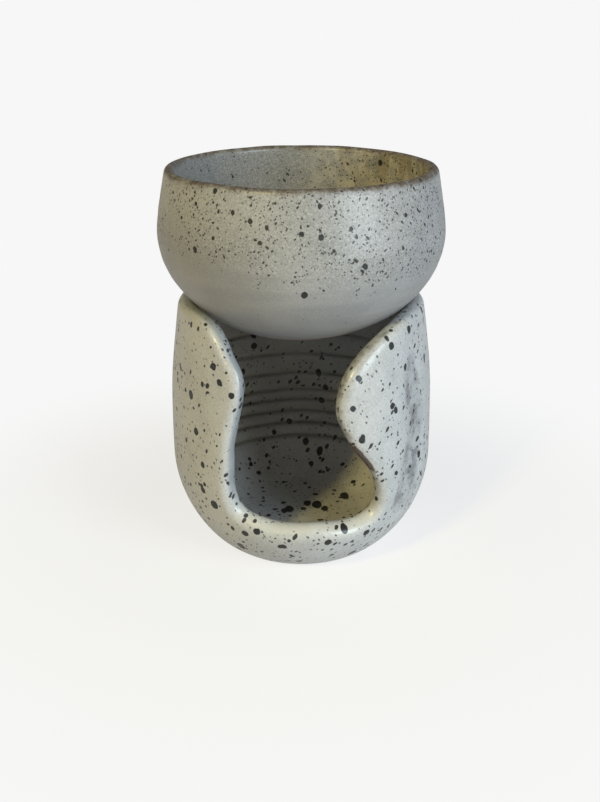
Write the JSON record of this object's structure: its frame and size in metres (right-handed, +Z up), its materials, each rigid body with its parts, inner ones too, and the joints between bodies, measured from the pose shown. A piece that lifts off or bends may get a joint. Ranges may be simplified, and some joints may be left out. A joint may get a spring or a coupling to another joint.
{
  "type": "essential oil burner",
  "caption": "Hand-thrown stoneware oil burner: speckled pale grey glaze, a candle chamber with an hourglass mouth and a loose round oil bowl on its rim.",
  "frame": {"origin": "middle of the base's foot, on the surface that it stands on", "axes": "+Z up along the thrown axis of base and bowl, -Y through the candle mouth, +X to the right as seen from the mouth"},
  "size_m": [0.098, 0.098, 0.1375],
  "materials": {
    "base_glaze": "satin glaze, pale warm grey with round dark iron spots",
    "bowl_glaze": "satin glaze, pale grey with fine dark speckles"
  },
  "bodies": {
    "base": {"burner_base": "base_glaze"},
    "bowl": {"oil_bowl": "bowl_glaze"}
  },
  "joints": [
    {"name": "bowl_lift", "type": "slide", "parent": "base", "child": "bowl", "axis": [0, 0, 1], "range_m": [0, 0.06]}
  ]
}
